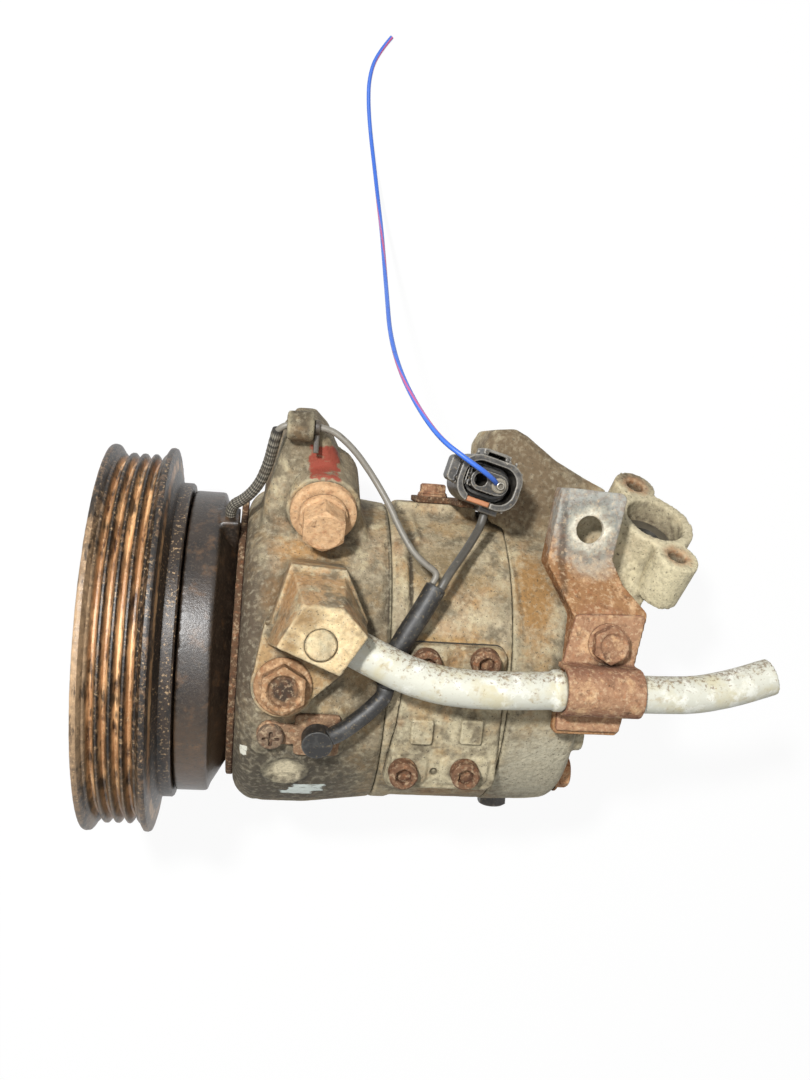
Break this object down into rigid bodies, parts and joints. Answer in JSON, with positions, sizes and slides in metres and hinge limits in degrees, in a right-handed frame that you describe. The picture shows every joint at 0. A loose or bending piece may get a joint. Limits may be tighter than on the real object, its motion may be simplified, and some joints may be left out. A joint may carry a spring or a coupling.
{
  "type": "vehicle air conditioning compressor",
  "caption": "Belt-driven vane compressor lying on its feet, with a magnetic clutch pulley, a discharge fitting and pipe, a suction port, a lead connector and a loose test wire.",
  "frame": {"origin": "on the shaft axis, in the plane of the pulley's front belt flange, inside the puller thread of the clutch hub", "axes": "+X along the shaft from the clutch to the rear; +Z away from the four mounting feet; +Y completes the frame, towards the mounting ears"},
  "size_m": [0.2069, 0.2865, 0.1385],
  "materials": {
    "rusty_steel": "rough, rusted",
    "black_steel": "satin black with rust specks",
    "bright_steel": "ground",
    "zinc_steel": "zinc plate worn through to rust",
    "cast_aluminium": "as cast, dusty",
    "pipe_aluminium": "oxidised, chalky",
    "copper_winding": "enamelled and potted",
    "black_rubber": "matt",
    "grey_insulation": "dull",
    "black_plastic": "moulded",
    "orange_plastic": "moulded, dusty",
    "blue_insulation": "semi-gloss",
    "vane_composite": "lapped"
  },
  "bodies": {
    "compressor": {"pulley_bearing_inner_ring": "bright_steel", "housing_circlips": "bright_steel", "field_coil_shell": "black_steel", "field_coil_winding": "copper_winding", "field_coil_plate": "rusty_steel", "front_head": "cast_aluminium", "static_seals": "black_rubber", "cylinder": "cast_aluminium", "discharge_valve_covers": "cast_aluminium", "discharge_reeds": "bright_steel", "discharge_cover_screws": "rusty_steel", "side_plates": "cast_aluminium", "needle_shells": "bright_steel", "shaft_seal": "black_rubber", "rear_head": "cast_aluminium", "through_bolts": "rusty_steel", "check_valve_seat": "pipe_aluminium", "ear_bolt": "zinc_steel", "ear_washers": "zinc_steel", "discharge_fitting": "pipe_aluminium", "fitting_plug": "pipe_aluminium", "fitting_bolt": "rusty_steel", "discharge_pipe": "pipe_aluminium", "pipe_bracket": "zinc_steel", "pipe_clamp": "rusty_steel", "bracket_bolts": "rusty_steel", "thermal_protector": "black_rubber", "protector_plate": "rusty_steel", "protector_screw": "rusty_steel", "coil_lead": "grey_insulation", "braided_sleeve": "black_plastic", "connector_lead": "grey_insulation", "joint_sleeve": "black_rubber", "protector_cable": "black_rubber", "test_wire": "blue_insulation", "lead_clip": "black_steel", "connector_housing": "black_plastic", "connector_seal": "black_rubber", "connector_lock": "orange_plastic", "connector_bracket": "black_steel", "oil_plug": "black_steel"},
    "pulley": {"pulley": "rusty_steel", "pulley_bearing_outer_ring": "bright_steel", "pulley_bearing_seals": "black_rubber", "bearing_circlip": "bright_steel"},
    "bearing_cage": {"pulley_bearing_balls": "bright_steel"},
    "shaft": {"rotor_shaft": "bright_steel", "vane_rotor": "bright_steel", "clutch_hub": "black_steel", "hub_bolt": "zinc_steel", "leaf_springs": "bright_steel"},
    "armature": {"armature_plate": "black_steel"},
    "front_needles": {"front_needle_set": "bright_steel"},
    "rear_needles": {"rear_needle_set": "bright_steel"},
    "check_valve_disc": {"check_valve_poppet": "black_plastic"},
    "vane_1": {"vane_1": "vane_composite"},
    "vane_2": {"vane_2": "vane_composite"},
    "vane_3": {"vane_3": "vane_composite"},
    "vane_4": {"vane_4": "vane_composite"},
    "vane_5": {"vane_5": "vane_composite"}
  },
  "joints": [
    {"name": "pulley_spin", "type": "hinge", "parent": "compressor", "child": "pulley", "pos_m": [0.014, 0, 0], "axis": [1, 0, 0], "continuous": true},
    {"name": "bearing_cage_spin", "type": "hinge", "parent": "compressor", "child": "bearing_cage", "pos_m": [0.014, 0, 0], "axis": [1, 0, 0], "continuous": true},
    {"name": "shaft_spin", "type": "hinge", "parent": "compressor", "child": "shaft", "pos_m": [0.1, 0, 0], "axis": [1, 0, 0], "continuous": true},
    {"name": "front_needles_spin", "type": "hinge", "parent": "compressor", "child": "front_needles", "pos_m": [0.08, 0, 0], "axis": [1, 0, 0], "continuous": true},
    {"name": "rear_needles_spin", "type": "hinge", "parent": "compressor", "child": "rear_needles", "pos_m": [0.132, 0, 0], "axis": [1, 0, 0], "continuous": true},
    {"name": "armature_travel", "type": "slide", "parent": "shaft", "child": "armature", "axis": [1, 0, 0], "range_m": [0, 0.00045], "deforming": ["leaf_springs"]},
    {"name": "check_valve_lift", "type": "slide", "parent": "compressor", "child": "check_valve_disc", "axis": [-0.1501, -0.8004, -0.5803], "range_m": [0, 0.0028]},
    {"name": "vane_1_slide", "type": "slide", "parent": "shaft", "child": "vane_1", "axis": [0, 0.5, 0.866], "range_m": [0, 0.00624]},
    {"name": "vane_2_slide", "type": "slide", "parent": "shaft", "child": "vane_2", "axis": [0, -0.6691, 0.7431], "range_m": [0, 0.00016]},
    {"name": "vane_3_slide", "type": "slide", "parent": "shaft", "child": "vane_3", "axis": [0, -0.9135, -0.4067], "range_m": [0, 0.0033]},
    {"name": "vane_4_slide", "type": "slide", "parent": "shaft", "child": "vane_4", "axis": [0, 0.1045, -0.9945], "range_m": [0, 0.0033]},
    {"name": "vane_5_slide", "type": "slide", "parent": "shaft", "child": "vane_5", "axis": [0, 0.9781, -0.2079], "range_m": [0, 0.00016]}
  ],
  "couplings": [
    {"joint": "bearing_cage_spin", "follows": "pulley_spin", "ratio": 0.5723},
    {"joint": "front_needles_spin", "follows": "shaft_spin", "ratio": 0.4351},
    {"joint": "rear_needles_spin", "follows": "shaft_spin", "ratio": 0.4351}
  ]
}
